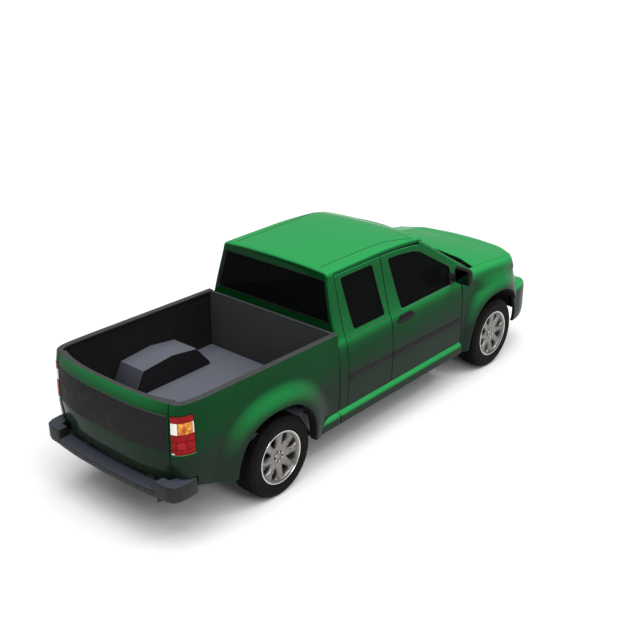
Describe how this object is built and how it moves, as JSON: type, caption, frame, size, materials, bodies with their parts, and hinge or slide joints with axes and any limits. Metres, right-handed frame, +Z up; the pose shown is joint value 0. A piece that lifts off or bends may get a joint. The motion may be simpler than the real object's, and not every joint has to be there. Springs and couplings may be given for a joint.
{
  "type": "pickup truck",
  "caption": "Extended-cab pickup truck with open cargo bed, hinged doors, hood and tailgate, steered front wheels and rolling wheels.",
  "frame": {"origin": "centre of the footprint on the ground under the tyres", "axes": "+X to the truck's left, +Y towards the tailgate, +Z up; the truck faces -Y"},
  "size_m": [1.964, 5.256, 1.7149],
  "materials": {
    "paint": "gloss",
    "dark_plastic": "satin",
    "steel": "satin",
    "casting": "as cast",
    "glass": "dark tinted",
    "liner": "satin",
    "rubber": "matte",
    "tyre": "matte",
    "alloy": "silver painted",
    "red_lens": "clear gloss",
    "clear_lens": "clear gloss",
    "trim": "grained",
    "cloth": "woven"
  },
  "bodies": {
    "body": {"frame": "steel", "engine_block": "casting", "rear_axle": "steel", "exhaust": "steel", "fuel_tank": "dark_plastic", "spare_wheel": "rubber", "cab_shell": "paint", "windshield": "glass", "rear_window": "glass", "dashboard": "trim", "front_seats": "cloth", "rear_seat": "cloth", "front_bumper": "paint", "grille": "dark_plastic", "bed_floor": "liner", "rear_bumper": "dark_plastic", "fender_left": "paint", "headlight_left": "clear_lens", "bedside_left": "paint", "tail_lamp_left": "red_lens", "fender_right": "paint", "headlight_right": "clear_lens", "bedside_right": "paint", "tail_lamp_right": "red_lens"},
    "front_door_left": {"front_door_left": "paint", "front_glass_left": "glass", "mirror_left": "dark_plastic"},
    "rear_door_left": {"rear_door_left": "paint", "rear_glass_left": "glass"},
    "knuckle_left": {"knuckle_left": "steel"},
    "wheel_front_left": {"tyre_front_left": "tyre", "rim_front_left": "alloy"},
    "wheel_rear_left": {"tyre_rear_left": "tyre", "rim_rear_left": "alloy"},
    "front_door_right": {"front_door_right": "paint", "front_glass_right": "glass", "mirror_right": "dark_plastic"},
    "rear_door_right": {"rear_door_right": "paint", "rear_glass_right": "glass"},
    "knuckle_right": {"knuckle_right": "steel"},
    "wheel_front_right": {"tyre_front_right": "tyre", "rim_front_right": "alloy"},
    "wheel_rear_right": {"tyre_rear_right": "tyre", "rim_rear_right": "alloy"},
    "hood": {"hood": "paint"},
    "tailgate": {"tailgate": "paint"},
    "fuel_door": {"fuel_door": "paint"},
    "steering_wheel": {"steering_wheel": "trim"}
  },
  "joints": [
    {"name": "steer_left", "type": "hinge", "parent": "body", "child": "knuckle_left", "pos_m": [0.6, -1.747, 0.363], "axis": [0, 0, 1], "range_deg": [-32, 32]},
    {"name": "spin_front_left", "type": "hinge", "parent": "knuckle_left", "child": "wheel_front_left", "pos_m": [0.68, -1.747, 0.363], "axis": [1, 0, 0], "continuous": true},
    {"name": "spin_rear_left", "type": "hinge", "parent": "body", "child": "wheel_rear_left", "pos_m": [0.68, 1.451, 0.363], "axis": [1, 0, 0], "continuous": true},
    {"name": "front_door_left", "type": "hinge", "parent": "body", "child": "front_door_left", "pos_m": [0.803, -1.157, 0.8], "axis": [0, 0, -1], "range_deg": [0, 68]},
    {"name": "rear_door_left", "type": "hinge", "parent": "body", "child": "rear_door_left", "pos_m": [0.803, 0.575, 0.8], "axis": [0, 0, 1], "range_deg": [0, 90]},
    {"name": "steer_right", "type": "hinge", "parent": "body", "child": "knuckle_right", "pos_m": [-0.6, -1.747, 0.363], "axis": [0, 0, 1], "range_deg": [-32, 32]},
    {"name": "spin_front_right", "type": "hinge", "parent": "knuckle_right", "child": "wheel_front_right", "pos_m": [-0.68, -1.747, 0.363], "axis": [1, 0, 0], "continuous": true},
    {"name": "spin_rear_right", "type": "hinge", "parent": "body", "child": "wheel_rear_right", "pos_m": [-0.68, 1.451, 0.363], "axis": [1, 0, 0], "continuous": true},
    {"name": "front_door_right", "type": "hinge", "parent": "body", "child": "front_door_right", "pos_m": [-0.803, -1.157, 0.8], "axis": [0, 0, 1], "range_deg": [0, 68]},
    {"name": "rear_door_right", "type": "hinge", "parent": "body", "child": "rear_door_right", "pos_m": [-0.803, 0.575, 0.8], "axis": [0, 0, -1], "range_deg": [0, 90]},
    {"name": "steering_wheel", "type": "hinge", "parent": "body", "child": "steering_wheel", "pos_m": [0.36, -0.76, 0.985], "axis": [0, -0.9063, -0.4226], "range_deg": [-512, 512]},
    {"name": "hood", "type": "hinge", "parent": "body", "child": "hood", "pos_m": [0, -1.385, 1.212], "axis": [-1, 0, 0], "range_deg": [0, 50]},
    {"name": "tailgate", "type": "hinge", "parent": "body", "child": "tailgate", "pos_m": [0, 2.5, 0.62], "axis": [-1, 0, 0], "range_deg": [0, 88]},
    {"name": "fuel_door", "type": "hinge", "parent": "body", "child": "fuel_door", "pos_m": [0.787, 0.7955, 1.045], "axis": [0, 0, -1], "range_deg": [0, 100]}
  ],
  "couplings": [
    {"joint": "steer_right", "follows": "steer_left", "ratio": 1},
    {"joint": "steering_wheel", "follows": "steer_left", "ratio": -16}
  ]
}
